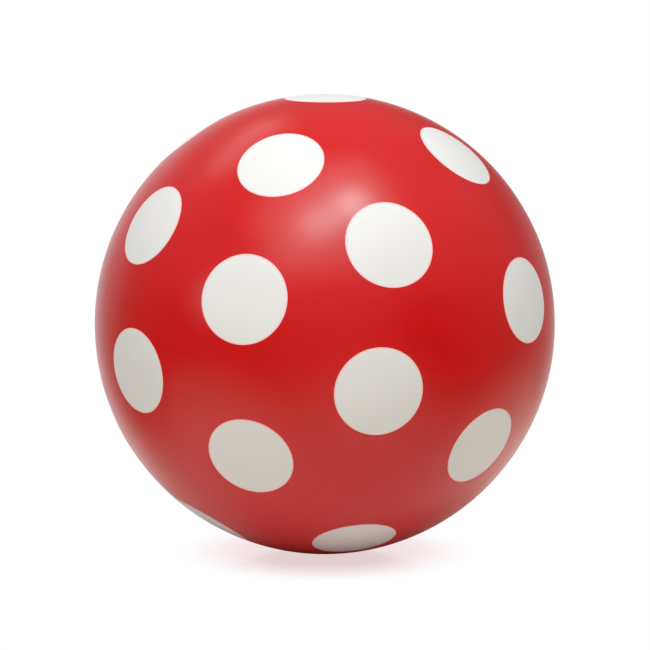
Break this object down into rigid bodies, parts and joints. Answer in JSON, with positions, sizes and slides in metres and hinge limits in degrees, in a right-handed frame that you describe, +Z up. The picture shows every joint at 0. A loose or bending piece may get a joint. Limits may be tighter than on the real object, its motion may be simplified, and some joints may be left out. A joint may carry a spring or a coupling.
{
  "type": "bouncy ball",
  "caption": "Round inflatable play ball: a hollow red skin with flush white polka dots, and a soft valve closed by a push-in stopper.",
  "frame": {"origin": "centre of the ball", "axes": "+Z up from the floor that the ball rests on; -Y is the side with the front pole of the spots, which leans 8 degrees up; the valve is at the opposite pole, towards +Y"},
  "size_m": [0.22, 0.22, 0.22],
  "materials": {
    "red_skin": "satin red rubber skin with a soft, broad sheen",
    "white_spot": "satin white flexible ink",
    "valve_rubber": "matt, soft off-white rubber",
    "stopper_plastic": "smooth white moulded plastic"
  },
  "bodies": {
    "ball": {"ball_skin": "red_skin", "valve_body": "valve_rubber", "front_pole_spot": "white_spot", "front_ring_spots": "white_spot", "front_belt_spots": "white_spot", "back_belt_spots": "white_spot", "back_ring_spots": "white_spot", "valve_spot": "white_spot"},
    "stopper": {"valve_stopper": "stopper_plastic"}
  },
  "joints": [
    {"name": "stopper_pull", "type": "slide", "parent": "ball", "child": "stopper", "axis": [0, 0.9903, -0.1392], "range_m": [0, 0.03]}
  ]
}
